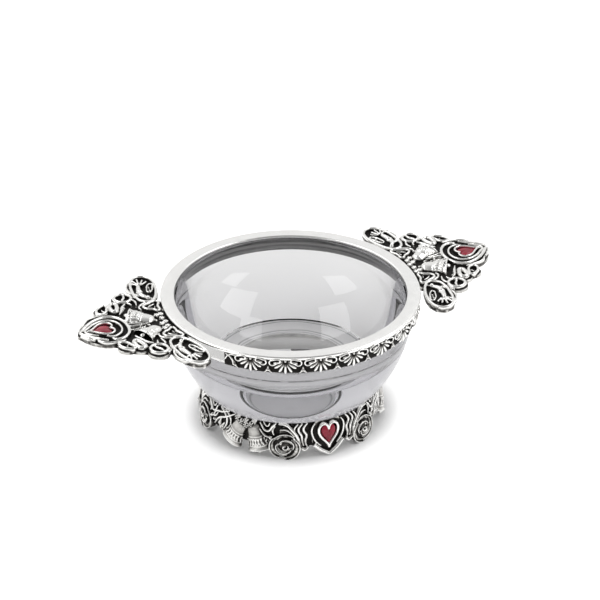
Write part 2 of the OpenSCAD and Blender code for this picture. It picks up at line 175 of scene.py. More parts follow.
def line_shape(lines):
    """Raised lines with rounded tops: each is points of x, y, width and height, and whether it closes."""
    curve = bpy.data.curves.new("lines", "CURVE")
    curve.dimensions = "3D"
    curve.twist_mode = "Z_UP"
    curve.bevel_depth = 1
    curve.bevel_resolution = 2
    curve.extrude = 1
    curve.use_fill_caps = True
    curve.resolution_u = 5
    for points, closed in lines:
        spline = curve.splines.new("BEZIER")
        spline.bezier_points.add(len(points) - 1)
        spline.use_cyclic_u = closed
        for knot, (x, y, width, height) in zip(spline.bezier_points, points):
            knot.co = (x, y, height - width)
            knot.radius = width / 2
            knot.handle_left_type = knot.handle_right_type = "AUTO"
    holder = bpy.data.objects.new("lines", curve)
    bpy.context.scene.collection.objects.link(holder)
    mesh = bpy.data.meshes.new_from_object(holder.evaluated_get(bpy.context.evaluated_depsgraph_get()))
    shape = bmesh.new()
    shape.from_mesh(mesh)
    bpy.data.objects.remove(holder)
    bpy.data.curves.remove(curve)
    bpy.data.meshes.remove(mesh)
    return shape


def line(points, width, height, closed=False, ends=0.5):
    """One line of even width and height, narrowed at its open ends."""
    last = len(points) - 1
    scale = [ends if not closed and i in (0, last) else 1 for i in range(last + 1)]
    return [(x, y, width * k, height) for (x, y), k in zip(points, scale)], closed


def spindle(points, width, height, start=0.25, end=0.25):
    """A leaf or feather: widest in its middle."""
    last = len(points) - 1
    swell = [max(math.sin(math.pi * i / last), 0) for i in range(last + 1)]
    swell[0], swell[-1] = start, end
    return [(x, y, width * k, height * (0.6 + 0.4 * k)) for (x, y), k in zip(points, swell)], False


def coil(cx, cy, r0, r1, start, end, steps):
    """Points of a curl that winds from one radius to another, with its angles in degrees."""
    out = []
    for i in range(steps + 1):
        k = i / steps
        a = math.radians(start + (end - start) * k)
        r = r0 + (r1 - r0) * k
        out.append((cx + r * math.cos(a), cy + r * math.sin(a)))
    return out


def add_bead(shape, x, y, width, height, length=None, turn=0, ground=0):
    """A rounded bead standing on the ground, or an oval one of a given length and turn."""
    bead = bmesh.ops.create_uvsphere(shape, u_segments=16, v_segments=10, radius=1)["verts"]
    place = (Matrix.Translation((x, y, ground)) @ Matrix.Rotation(math.radians(turn), 4, "Z")
             @ Matrix.Diagonal(((length or width) / 2, width / 2, height, 1)))
    bmesh.ops.transform(shape, matrix=place, verts=bead)


def add_bell(shape, crown, turn, length, mouth, height):
    """A bell lying on the ground, with a knob on its crown, raised bands, a flared lip and an open mouth."""
    outline = [(0, -0.11), (0.1, -0.1), (0.13, -0.03), (0.18, 0), (0.38, 0.05), (0.52, 0.14), (0.58, 0.28),
               (0.62, 0.44), (0.7, 0.48), (0.66, 0.52), (0.72, 0.7), (0.78, 0.78), (0.87, 0.81),
               (0.84, 0.85), (0.93, 0.93), (1, 0.97), (0.98, 1), (0.88, 0.99), (0.8, 0.88), (0.6, 0.72),
               (0, 0.68)]
    bell = turned([(r * mouth / 2, z * length) for r, z in outline], 36)
    place = (Matrix.Translation((*crown, 0.1 * height)) @ Matrix.Rotation(math.radians(turn), 4, "Z")
             @ Matrix.Diagonal((1, 1, 1.8 * height / mouth, 1)) @ Matrix.Rotation(math.radians(90), 4, "Y"))
    bmesh.ops.transform(bell, matrix=place, verts=bell.verts)
    merge(shape, bell)
    tip = Vector(crown) + length * Vector((math.cos(math.radians(turn)), math.sin(math.radians(turn))))
    add_bead(shape, tip.x, tip.y, 0.22 * mouth, 0.3 * height, 0.26 * length, turn, 0.35 * height)


def bell_hatch(crown, turn, length, mouth, height):
    """Crossed strokes on the band of a bell near its mouth."""
    axis = Vector((math.cos(math.radians(turn)), math.sin(math.radians(turn))))
    side = Vector((-axis.y, axis.x))
    out = []
    for i in range(-3, 4):
        for slant in (-1, 1):
            a = Vector(crown) + axis * 0.54 * length + side * (i - 0.35 * slant) * 0.105 * mouth
            b = Vector(crown) + axis * 0.78 * length + side * (i + 0.35 * slant) * 0.12 * mouth
            lift = 0.7 * height * math.sqrt(max(1 - (i / 3.4) ** 2, 0.05)) + 0.28
            out.append(([(a.x, a.y, 0.42, lift), (b.x, b.y, 0.42, lift * 1.08)], False))
    return out


def add_plate(shape, discs, low, high):
    """A flat plate with the outline that goes round a few discs, between two heights."""
    plate = bmesh.new()
    for x, y, r in discs:
        for z in (low, high):
            disc = bmesh.ops.create_circle(plate, cap_ends=False, radius=r, segments=32)["verts"]
            bmesh.ops.translate(plate, vec=(x, y, z), verts=disc)
    hull = bmesh.ops.convex_hull(plate, input=plate.verts)
    inner = [e for e in hull["geom_interior"] if isinstance(e, bmesh.types.BMVert)]
    bmesh.ops.delete(plate, geom=inner, context="VERTS")
    merge(shape, plate)


def add_flower(shape, x, y, size, height):
    """A small flower: five round petals and a bead."""
    for i in range(5):
        a = math.radians(72 * i + 18)
        out = 0.32 * size
        add_bead(shape, x + out * math.cos(a), y + out * math.sin(a), 0.38 * size, 0.85 * height)
    add_bead(shape, x, y, 0.3 * size, height)


def add_slab(shape, outline, low, high):
    """A flat slab from a closed outline."""
    slab = bmesh.new()
    face = slab.faces.new([slab.verts.new((x, y, low)) for x, y in outline])
    top = bmesh.ops.extrude_face_region(slab, geom=[face])["geom"]
    raised = [v for v in top if isinstance(v, bmesh.types.BMVert)]
    bmesh.ops.translate(slab, vec=(0, 0, high - low), verts=raised)
    bmesh.ops.recalc_face_normals(slab, faces=slab.faces)
    merge(shape, slab)


def merge(shape, other):
    """Adds another bmesh to this one and frees it."""
    mesh = bpy.data.meshes.new("part")
    other.to_mesh(mesh)
    other.free()
    shape.from_mesh(mesh)
    bpy.data.meshes.remove(mesh)


def swing(shape, angle):
    """Turns a shape about the bowl's axis."""
    bmesh.ops.rotate(shape, cent=(0, 0, 0), matrix=Matrix.Rotation(angle, 3, "Z"), verts=shape.verts)


def bent(shape, place):
    """Puts a flat drawing where it belongs on the casting."""
    for vert in shape.verts:
        vert.co = place(vert.co)


def cast(name, shape, voxel):
    """One casting from its overlapping solids, with soft edges, as a bmesh in millimetres."""
    mesh = bpy.data.meshes.new(name)
    shape.to_mesh(mesh)
    shape.free()
    holder = bpy.data.objects.new(name, mesh)
    bpy.context.scene.collection.objects.link(holder)
    remesh = holder.modifiers.new("cast", "REMESH")
    remesh.mode = "VOXEL"
    remesh.voxel_size = voxel
    soften = holder.modifiers.new("soften", "SMOOTH")
    soften.factor = 0.5
    soften.iterations = 1
    done = bpy.data.meshes.new_from_object(holder.evaluated_get(bpy.context.evaluated_depsgraph_get()))
    out = bmesh.new()
    out.from_mesh(done)
    bpy.data.objects.remove(holder)
    bpy.data.meshes.remove(mesh)
    bpy.data.meshes.remove(done)
    return out


def keep_clear(shape, cutter):
    """Cuts a solid's room out of a casting."""
    pair = []
    for part in (shape, cutter):
        mesh = bpy.data.meshes.new("part")
        part.to_mesh(mesh)
        part.free()
        holder = bpy.data.objects.new("part", mesh)
        bpy.context.scene.collection.objects.link(holder)
        pair.append(holder)
    cut = pair[0].modifiers.new("cut", "BOOLEAN")
    cut.operation = "DIFFERENCE"
    cut.solver = "EXACT"
    cut.object = pair[1]
    done = bpy.data.meshes.new_from_object(pair[0].evaluated_get(bpy.context.evaluated_depsgraph_get()))
    out = bmesh.new()
    out.from_mesh(done)
    for holder in pair:
        bpy.data.objects.remove(holder)
    bpy.data.meshes.remove(done)
    return out


def antique(piece, height_at, full_height, shade=0.0):
    """Marks each point's polish: bright on ridges and high ground, dark in hollows, duller by a shade."""
    mesh = piece.data
    count = len(mesh.vertices)
    place = np.empty(count * 3)
    mesh.vertices.foreach_get("co", place)
    place = place.reshape(-1, 3) / MM
    normal = np.empty(count * 3)
    mesh.vertices.foreach_get("normal", normal)
    normal = normal.reshape(-1, 3)
    pairs = np.empty(len(mesh.edges) * 2, dtype=np.int64)
    mesh.edges.foreach_get("vertices", pairs)
    a, b = pairs.reshape(-1, 2).T
    shares = np.maximum(np.bincount(a, minlength=count) + np.bincount(b, minlength=count), 1)

    def averaged(values, passes):
        for _ in range(passes):
            total = [np.bincount(a, column[b], count) + np.bincount(b, column[a], count)
                     for column in values.T]
            values = (values + np.stack(total, 1) / shares[:, None]) / 2
        return values

    near = averaged(place, 12)
    wide = averaged(near, 60)
    fine = np.einsum("ij,ij->i", near - place, normal)
    broad = np.einsum("ij,ij->i", wide - place, normal)
    height = np.clip(height_at(place) / full_height, 0, 1)
    polish = np.clip(0.15 - shade + 0.75 * height - 2.2 * fine - 0.9 * broad, 0, 1)
    mark = mesh.attributes.new("polish", "FLOAT", "POINT")
    mark.data.foreach_set("value", polish.astype(np.float32))


# Materials

def new_material(name):
    material = bpy.data.materials.new(name)
    material.use_nodes = True
    nodes = material.node_tree.nodes
    return material, nodes, material.node_tree.links, nodes["Principled BSDF"]


def grain(nodes, links, scale, detail=3):
    """Fine noise on the piece's own coordinates."""
    where = nodes.new("ShaderNodeTexCoord")
    noise = nodes.new("ShaderNodeTexNoise")
    noise.inputs["Scale"].default_value = scale
    noise.inputs["Detail"].default_value = detail
    links.new(where.outputs["Object"], noise.inputs["Vector"])
    return noise.outputs["Fac"]


def worked(nodes, links, operation, *values):
    """A sum, product or other operation on numbers and outputs of nodes."""
    node = nodes.new("ShaderNodeMath")
    node.operation = operation
    for socket, value in zip(node.inputs, values):
        if isinstance(value, (int, float)):
            socket.default_value = value
        else:
            links.new(value, socket)
    return node.outputs["Value"]


def faded(nodes, links, value, start, end, low, high, kind="SMOOTHSTEP"):
    """A value that goes from low to high between a start and an end."""
    node = nodes.new("ShaderNodeMapRange")
    node.interpolation_type = kind
    for name, number in (("From Min", start), ("From Max", end), ("To Min", low), ("To Max", high)):
        node.inputs[name].default_value = number
    links.new(value, node.inputs["Value"])
    return node.outputs["Result"]


def ramped(nodes, links, value, stops, socket):
    """Colours a socket by a value, from pairs of place and colour."""
    node = nodes.new("ShaderNodeValToRGB")
    elements = node.color_ramp.elements
    while len(elements) < len(stops):
        elements.new(0.5)
    for element, (place, colour) in zip(elements, stops):
        element.position = place
        element.color = (*colour, 1)
    links.new(value, node.inputs["Fac"])
    links.new(node.outputs["Color"], socket)


def bumped(nodes, links, shader, height, strength, distance):
    bump = nodes.new("ShaderNodeBump")
    bump.inputs["Strength"].default_value = strength
    bump.inputs["Distance"].default_value = distance
    links.new(height, bump.inputs["Height"])
    links.new(bump.outputs["Normal"], shader.inputs["Normal"])


def antiqued_pewter():
    """Cast pewter, blackened in its hollows and rubbed bright on its ridges."""
    material, nodes, links, shader = new_material("antiqued_pewter")
    shader.inputs["Metallic"].default_value = 1
    polish = nodes.new("ShaderNodeAttribute")
    polish.attribute_name = "polish"
    blotch = grain(nodes, links, 900)
    rubbed = worked(nodes, links, "MULTIPLY_ADD", blotch, 0.16, polish.outputs["Fac"])
    tones = [(0.2, (0.018, 0.017, 0.016)), (0.42, (0.1, 0.096, 0.09)), (0.66, (0.5, 0.49, 0.47)),
             (0.95, (0.87, 0.865, 0.845))]
    ramped(nodes, links, rubbed, tones, shader.inputs["Base Color"])
    ramped(nodes, links, rubbed, [(0.25, (0.55,) * 3), (0.8, (0.2,) * 3)], shader.inputs["Roughness"])
    bumped(nodes, links, shader, blotch, 0.15, 0.0001)
    return material


def polished_pewter():
    """Buffed pewter with faint marks of the buffing."""
    material, nodes, links, shader = new_material("polished_pewter")
    shader.inputs["Metallic"].default_value = 1
    marks = grain(nodes, links, 260, 4)
    tones = [(0.3, (0.89, 0.885, 0.87)), (0.7, (0.93, 0.925, 0.91))]
    ramped(nodes, links, marks, tones, shader.inputs["Base Color"])
    ramped(nodes, links, marks, [(0.3, (0.16,) * 3), (0.7, (0.24,) * 3)], shader.inputs["Roughness"])
    bumped(nodes, links, shader, marks, 0.04, 0.0001)
    return material


def clear_glass():
    """Heavy clear glass, faintly wavy, grey violet where it is thick. Marked faces let lamp light in."""
    material, nodes, links, shader = new_material("clear_glass")
    shader.inputs["Base Color"].default_value = (0.93, 0.93, 0.93, 1)
    shader.inputs["Roughness"].default_value = 0
    shader.inputs["IOR"].default_value = 1.5
    shader.inputs["Transmission Weight"].default_value = 1
    bumped(nodes, links, shader, grain(nodes, links, 45, 1), 0.02, 0.001)
    tint = nodes.new("ShaderNodeVolumeAbsorption")
    tint.inputs["Color"].default_value = (0.3, 0.29, 0.35, 1)
    tint.inputs["Density"].default_value = 11
    output = nodes["Material Output"]
    links.new(tint.outputs["Volume"], output.inputs["Volume"])
    path = nodes.new("ShaderNodeLightPath")
    marked = nodes.new("ShaderNodeAttribute")
    marked.attribute_name = "lets_light_in"
    passing = nodes.new("ShaderNodeBsdfTransparent")
    either = nodes.new("ShaderNodeMixShader")
    let_in = worked(nodes, links, "MULTIPLY", path.outputs["Is Shadow Ray"], marked.outputs["Fac"])
    links.new(let_in, either.inputs["Fac"])
    links.new(shader.outputs["BSDF"], either.inputs[1])
    links.new(passing.outputs["BSDF"], either.inputs[2])
    links.new(either.outputs["Shader"], output.inputs["Surface"])
    return material


def red_enamel():
    """Glossy red enamel, a little deeper and lighter in patches."""
    material, nodes, links, shader = new_material("red_enamel")
    shader.inputs["Roughness"].default_value = 0.2
    shader.inputs["Specular IOR Level"].default_value = 0.3
    shader.inputs["Coat Weight"].default_value = 0.2
    shader.inputs["Coat Roughness"].default_value = 0.03
    reds = [(0.35, (0.2, 0.005, 0.018)), (0.65, (0.34, 0.014, 0.038))]
    ramped(nodes, links, grain(nodes, links, 320, 2), reds, shader.inputs["Base Color"])
    return material


def rim_cement():
    """Dark cement with tin in it, smeared round under the rim in thin level streaks."""
    material, nodes, links, shader = new_material("rim_cement")
    shader.inputs["Metallic"].default_value = 0.9
    shader.inputs["Roughness"].default_value = 0.3
    where = nodes.new("ShaderNodeTexCoord")
    level = nodes.new("ShaderNodeMapping")
    level.inputs["Scale"].default_value = (25, 25, 900)
    links.new(where.outputs["Object"], level.inputs["Vector"])
    smear = nodes.new("ShaderNodeTexNoise")
    smear.inputs["Scale"].default_value = 1
    smear.inputs["Detail"].default_value = 4
    links.new(level.outputs["Vector"], smear.inputs["Vector"])
    tones = [(0.35, (0.16, 0.16, 0.155)), (0.65, (0.62, 0.615, 0.6))]
    ramped(nodes, links, smear.outputs["Fac"], tones, shader.inputs["Base Color"])
    bumped(nodes, links, shader, smear.outputs["Fac"], 0.25, 0.0003)
    return material


def seat_cement():
    """White cement on the foot's ledge, in uneven rings of lighter and darker tone."""
    material, nodes, links, shader = new_material("foot_cement")
    shader.inputs["Roughness"].default_value = 0.6
    where = nodes.new("ShaderNodeTexCoord")
    flat = nodes.new("ShaderNodeVectorMath")
    flat.operation = "MULTIPLY"
    flat.inputs[1].default_value = (1, 1, 0)
    links.new(where.outputs["Object"], flat.inputs[0])
    out = nodes.new("ShaderNodeVectorMath")
    out.operation = "LENGTH"
    links.new(flat.outputs["Vector"], out.inputs[0])
    waver = 1.6 * MM
    uneven = worked(nodes, links, "MULTIPLY_ADD", grain(nodes, links, 90, 2), waver, out.outputs["Value"])
    across = faded(nodes, links, uneven, ledge_r * MM + waver / 2, foot_r * MM + waver / 2, 0, 1, "LINEAR")
    rings = [(0.0, 0.9), (0.03, 0.9), (0.07, 0.5), (0.12, 0.9), (0.17, 0.94), (0.22, 0.42), (0.27, 0.85),
             (0.32, 0.95), (0.83, 0.95), (0.88, 0.4), (0.92, 0.9), (1.0, 0.95)]
    tones = [(place, (level, level, 0.99 * level)) for place, level in rings]
    ramped(nodes, links, across, tones, shader.inputs["Base Color"])
    bumped(nodes, links, shader, across, 0.1, 0.0003)
    return material


relief_metal = antiqued_pewter()
bright_metal = polished_pewter()
glass = clear_glass()
enamel = red_enamel()

# Glass bowl

round_z = glass_base_z + glass_base_round
skin_r = glass_r - setting_air
base_round_r = math.sqrt((skin_r - glass_base_round) ** 2 - (glass_wide_z - round_z) ** 2)
round_end = -math.degrees(math.atan2(glass_wide_z - round_z, base_round_r))
lip_turn = math.degrees(math.asin((glass_lip_z - glass_wide_z) / skin_r))
inner_depth = glass_lip_z - glass_base_z - glass_base_t
inner_steps = 60
inside = []
for i in range(inner_steps):
    turn = math.pi / 2 * i / inner_steps
    inside.append((mouth_r * math.cos(turn), glass_lip_z - inner_depth * math.sin(turn)))
inside.append((0, glass_lip_z - inner_depth))
outside = (arc(base_round_r, round_z, glass_base_round, -90, round_end, 10)
           + arc(0, glass_wide_z, skin_r, round_end, lip_turn, 60)[1:])
bowl_shape = turned([(0, glass_base_z)] + outside + inside, round_steps)
bowl = mesh_piece("bowl_glass", bowl_shape, glass)
lets_light_in = bowl.data.attributes.new("lets_light_in", "FLOAT", "FACE")
for polygon, value in zip(bowl.data.polygons, lets_light_in.data):
    faces_in = polygon.normal.xy.dot(polygon.center.xy) < 0 or polygon.normal.z > 0.5
    flat_base = polygon.normal.z < -0.95
    value.value = float(faces_in or flat_base)
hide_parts("glass_bowl")

# Rim collar

under_z = rim_z - flange_t
chamfer = 0.2
collar_outline = ([(rebate_r, rim_low.z), (collar_r - chamfer, rim_low.z), (collar_r, rim_low.z + chamfer),
                   (collar_r, under_z), (rim_r - 0.3, under_z)]
                  + arc(rim_r - under_edge_r, under_z + under_edge_r, under_edge_r, -90, 0, 5)
                  + arc(rim_r - edge_r, rim_z - edge_r, edge_r, 0, 90, 6)
                  + arc(mouth_r + edge_r, rim_z - edge_r, edge_r, 90, 180, 6)
                  + [(mouth_r, under_z), (rebate_r, under_z)])
collar = mesh_piece("polished_rim", turned(collar_outline, round_steps), bright_metal)
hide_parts("rim_collar")

# Cement rings keep their own solids
for node, setting in (("rim_cement", rim_cement()), ("foot_cement", seat_cement())):
    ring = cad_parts[node]
    ring.data.materials.clear()
    ring.data.materials.append(setting)


# Enamel hearts

def enamel_heart(name, node, outline, dome, place):
    """A domed heart of enamel in its cell."""
    shape = bmesh.new()
    face = shape.faces.new([shape.verts.new((x, y, 0)) for x, y in outline])
    before = 1
    for share, rise in ((1, 0), (0.93, 0.25), (0.8, 0.55), (0.6, 0.8), (0.38, 0.94), (0.16, 1)):
        top = bmesh.ops.extrude_face_region(shape, geom=[face])["geom"]
        verts = [v for v in top if isinstance(v, bmesh.types.BMVert)]
        bmesh.ops.scale(shape, vec=(share / before, share / before, 1), verts=verts)
        for vert in verts:
            vert.co.z = enamel_t + rise * dome
        if rise > 0:
            bmesh.ops.delete(shape, geom=[face], context="FACES_ONLY")
        face = [f for f in top if isinstance(f, bmesh.types.BMFace)][0]
        before = share
    bmesh.ops.recalc_face_normals(shape, faces=shape.faces)
    bmesh.ops.transform(shape, matrix=place, verts=shape.verts)
    piece = mesh_piece(name, shape, enamel)
    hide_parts(node)


handle_tilted = (Matrix.Translation((rim_r, 0, face_z)) @ Matrix.Rotation(-handle_tilt, 4, "Y")
                 @ Matrix.Translation((-rim_r, 0, 0)))
for side, turn in (("right", 0), ("left", 180)):
    place = (Matrix.Rotation(math.radians(turn), 4, "Z") @ handle_tilted
             @ Matrix.Translation((handle_heart_x, 0, 0)) @ Matrix.Rotation(math.radians(90), 4, "Z"))
    outline = heart_line(*handle_heart, heart_steps, handle_heart_fullness)
    enamel_heart(f"{side}_handle_enamel", f"{side}_handle_heart", outline, handle_dome, place)


def foot_skin(v):
    return foot_r + foot_flare * (1 - v / foot_h)


foot_lean = math.atan(foot_flare / foot_h)
tile_place = (Matrix.Translation((foot_skin(foot_heart_v), 0, foot_heart_v))
              @ Matrix.Rotation(math.radians(90), 4, "Z") @ Matrix.Rotation(math.radians(90), 4, "X")
              @ Matrix.Rotation(-foot_lean, 4, "X"))
for side, angle in zip(("front", "right", "left"), heart_angles):
    place = Matrix.Rotation(math.radians(angle), 4, "Z") @ tile_place @ Matrix.Translation((0, 0, tile_t))
    outline = heart_line(*foot_heart, heart_steps)
    enamel_heart(f"foot_enamel_{side}", f"foot_heart_{side}", outline, foot_dome, place)


# Handles, drawn from above: x from the bowl's axis, y across

def dove_lines():
    """The +Y dove in its roundel: head towards the handle's middle, one feathered wing, a fanned tail."""
    wing = [(50.1, 21.6), (48.7, 22.4), (47.5, 25.0), (47.0, 27.8), (48.8, 26.8), (49.9, 24.6)]
    lines = [
        spindle([(52.2, 18.4), (53.4, 20.4), (53.4, 23.0), (52.9, 25.6), (52.1, 28.0)], 3.0, 1.9, 0.5, 0.5),
        line(wing, 0.6, 1.35, True),
        line([(53.8, 20.2), (55.0, 20.4), (55.6, 21.8)], 1.2, 1.5),
    ]
    for i in range(3):
        barb = [(49.4 - 0.3 * i, 23.2 + 1.1 * i), (48.7 - 0.3 * i, 23.9 + 1.1 * i)]
        lines.append(spindle(barb, 0.45, 1.0, 0.7, 0.7))
    for i in range(5):
        out = math.radians(98 + 23 * (i - 2))
        reach = [(1.4, 0.5), (3.4, 0.7), (5.6 - 0.5 * abs(i - 2), 0.75)]
        feather = [(51.9 + r * math.cos(out), 27.0 + r * math.sin(out), w, 1.5) for r, w in reach]
        lines.append((feather, False))
    return lines


roundel = [(52.2, 14.6), (55.0, 15.8), (56.2, 19.6), (55.9, 24.4), (54.9, 29.2), (52.6, 33.4), (49.4, 34.6),
           (46.7, 32.8), (45.7, 29.0), (46.2, 24.8), (47.6, 20.4), (49.6, 16.6)]


def half_handle_lines():
    """Scrolls, ribbons and leaves on the +Y half of a handle."""
    return dove_lines() + [
        line(roundel, 1.15, 1.55, True),
        line([(53.4, 32.8), (56.2, 29.8), (57.2, 25.8), (56.8, 22.8)], 1.0, 1.1),
        # Bow by the rim
        line([(49.6, 14.0), (52.8, 13.5), (56.0, 11.5), (55.4, 9.6), (53.2, 8.4), (51.4, 7.0),
              (50.6, 10.4)], 1.0, 1.5, True),
        line([(51.2, 12.4), (53.4, 11.4), (54.4, 10.4)], 0.7, 1.2),
        line([(51.6, 10.8), (52.2, 9.2)], 0.6, 1.1),
        line([(53.6, 14.6), (56.4, 13.2), (57.8, 11.2), (57.4, 9.6)], 0.9, 1.3),
        # Curl, its tongue and its stem
        line(coil(61.3, 20.2, 3.2, 3.2, 0, 315, 7), 1.2, 1.6, True),
        line([(60.3, 22.8), (60.7, 20.6), (61.9, 18.8), (62.4, 17.4)], 1.1, 1.5),
        line([(58.4, 18.6), (57.6, 16.2), (58.2, 13.2)], 1.0, 1.35),
        line([(56.8, 19.4), (57.4, 21.8), (58.6, 23.6)], 0.8, 1.0),
        # Thick leaf with its small hole, and the round leaf
        line([(65.5, 16.8), (67.1, 17.3), (68.3, 14.6), (67.3, 11.4), (66.2, 12.9), (65.5, 14.8)],
             1.85, 1.65, True),
        line([(69.6, 17.0), (71.8, 16.4), (73.9, 13.8), (73.6, 11.4), (71.2, 11.8), (69.9, 14.0)],
             1.1, 1.5, True),
        line([(70.4, 12.8), (71.4, 13.8), (71.6, 15.2)], 0.5, 0.9),
        # Ribbons and a leaf between the bell and the leaves
        spindle([(62.6, 13.8), (64.2, 12.2), (65.2, 9.8)], 1.8, 1.2, 0.4, 0.4),
        line([(59.8, 14.0), (60.2, 15.6), (61.2, 16.6)], 0.9, 1.3),
        line([(61.8, 15.8), (63.6, 13.9), (65.0, 11.0), (66.6, 8.4)], 1.1, 1.4),
        line([(62.6, 17.2), (64.0, 17.4), (64.6, 18.6)], 0.7, 1.1),
        # Long leaf beside the heart, and the edge towards the tip
        line([(70.6, 10.4), (74.6, 10.3), (78.6, 9.2), (80.6, 7.0)], 0.9, 1.45),
        line([(81.2, 6.4), (83.2, 4.4), (85.2, 1.4)], 1.2, 1.2),
    ]


def mirrored(lines):
    return lines + [([(x, -y, w, h) for x, y, w, h in points], closed) for points, closed in lines]


handle_bells = [((55.2, -1.6), -31, 10.4, 11.4), ((55.5, 4.2), 30, 9.4, 9.8)]
handle_bell_h = 2.7


def handle_shape():
    """The casting of the +X handle."""
    shape = line_shape(mirrored(half_handle_lines()))
    border = heart_line(handle_heart[0] + 1.5, handle_heart[1] + 1.8, 24, handle_heart_fullness)
    middle = [
        # Two open rings that hook round the heart and run out to the tip
        line([(74.8, 7.0), (73.8, 8.4), (71.6, 8.6), (68.9, 7.0), (67.0, 3.7), (66.5, 0), (67.0, -3.7),
              (68.9, -7.0), (71.9, -8.5), (75.4, -8.0), (79.0, -6.1), (82.2, -3.3), (85.0, 0)], 1.35, 1.6),
        line([(76.6, 8.4), (79.4, 6.3), (82.4, 3.4), (84.9, 0.3)], 1.35, 1.6),
        line([(76.4, 5.0), (74.2, 6.1), (71.3, 5.1), (69.5, 2.7), (69.0, 0), (69.5, -2.7), (71.3, -5.1),
              (74.2, -6.0), (77.4, -5.1), (80.4, -3.0), (83.0, 0), (81.2, 2.6), (79.0, 4.2)], 0.9, 1.55),
        line([(handle_heart_x - y, x) for x, y in border], 0.8, 1.75, True),
        spindle([(57.6, 1.3), (61.6, 1.3), (66.2, 1.1)], 3.4, 1.2, 0.3, 0.7),
        line([(60.0, 2.8), (63.0, 3.2), (66.2, 3.6)], 0.6, 1.15),
        line([(60.0, -0.2), (63.0, -0.8), (66.2, -1.2)], 0.6, 1.15),
        line([(58.6, 1.3), (62.0, 1.4), (66.4, 1.2)], 0.6, 1.6),
    ]
    merge(shape, line_shape(middle))
    for bell in handle_bells:
        add_bell(shape, *bell, handle_bell_h)
        merge(shape, line_shape(bell_hatch(*bell, handle_bell_h)))
    for k in (-1, 1):
        add_bead(shape, 51.8, k * 17.7, 2.1, 1.9)
        add_bead(shape, 50.6, k * 16.9, 0.7, 1.2, 1.2, k * 30)
    for x, y in ((51.6, -4.6), (52.2, -1.6), (51.8, 1.4), (53.6, 2.4), (52.2, 4.6), (53.8, 5.9),
                 (53.4, -4.2)):
        add_flower(shape, x, y, 2.4, 1.5)
    low = -plate_t
    add_plate(shape, [(73.6, 0, 11.0), (84.9, 0, 1.1)], low, 0)
    add_plate(shape, [(50.4, 0, 8.2), (72, 0, 8)], low, 0)
    for k in (-1, 1):
        add_plate(shape, [(52.6, k * 13, 5.4), (64, k * 12, 4)], low, 0)
        add_plate(shape, [(58.4, k * 16, 3.2), (61.5, k * 20.6, 4.2)], low, 0)
        add_plate(shape, [(64, k * 12, 4), (66.6, k * 15.6, 3.7)], low, 0)
        add_plate(shape, [(68, k * 8, 4), (71.6, k * 14, 3.4)], low, 0)
        add_plate(shape, [(x, k * y, 0.8) for x, y in roundel] + [(56.6, k * 26, 0.8)], low, 0)
    for vert in shape.verts:
        vert.co.z = max(vert.co.z, low)
    bmesh.ops.transform(shape, matrix=handle_tilted, verts=shape.verts)
    shape = cast("handle", shape, handle_voxel)
    past = 5
    room = [(0, rim_low.z - past), (collar_r + solder, rim_low.z - past), (collar_r + solder, band_top),
            (rim_r + solder, band_top), (rim_r + solder, rim_z + past), (0, rim_z + past)]
    return keep_clear(shape, turned(room, round_steps))


def over_plate(place):
    """Height over a handle's tilted plate."""
    return place[:, 2] - face_z - (np.abs(place[:, 0]) - rim_r) * math.tan(handle_tilt)


right_shape = handle_shape()
left_shape = right_shape.copy()
swing(left_shape, math.pi)
for name, node, shape in (("right_relief_handle", "right_handle", right_shape),
                          ("left_relief_handle", "left_handle", left_shape)):
    piece = mesh_piece(name, shape, relief_metal)
    antique(piece, over_plate, handle_relief)
    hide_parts(node)


# Gallery bands

def on_collar(p):
    """A place on the rim's wall from a flat drawing: along it, up from the flange, out from the ground."""
    a = p.x / collar_r
    r = band_ground + p.z
    return Vector((r * math.cos(a), r * math.sin(a), band_top + p.y))


band_motifs = 7
band_half = math.asin(band_high.x / band_ground)
band_start = math.radians(4)
band_pitch = math.radians(14.9) * collar_r
fan_r = 5.2
petals = 7


def fan_lines(x):
    """One fan motif: two hollow ears over a shell of thick petals, with a leaf low down at each side."""
    lines = []
    for k in (-1, 1):
        ear = [(k * 1.9, -0.6), (k * 4.4, -0.45), (k * 5.7, -1.3), (k * 5.0, -2.6), (k * 3.2, -1.9)]
        lines.append(line([(x + a, b) for a, b in ear], 0.6, 1.55, True))
        lines.append(spindle([(x + k * 6.3, -3.4), (x + k * 6.0, -5.0), (x + k * 4.9, -6.2)], 1.0, 1.15))
    for i in range(petals):
        side = 2 * i / (petals - 1) - 1
        a = 1.25 * side
        far = fan_r * (1 - 0.16 * side * side)
        reach = ((1.0, 0.4, 0.8), (0.5 * far, 0.75, 1.45), (0.8 * far, 1.0, 1.55), (far, 0.7, 1.1))
        petal = []
        for r, w, h in reach:
            turn = a + 0.1 * side * r / far
            petal.append((x + r * math.sin(turn), -0.9 - r * math.cos(turn), w, h))
        lines.append((petal, False))
    return lines


def motif_place(i):
    """Where a motif's middle is along the band."""
    return (i - (band_motifs - 1) / 2) * band_pitch + band_start * collar_r


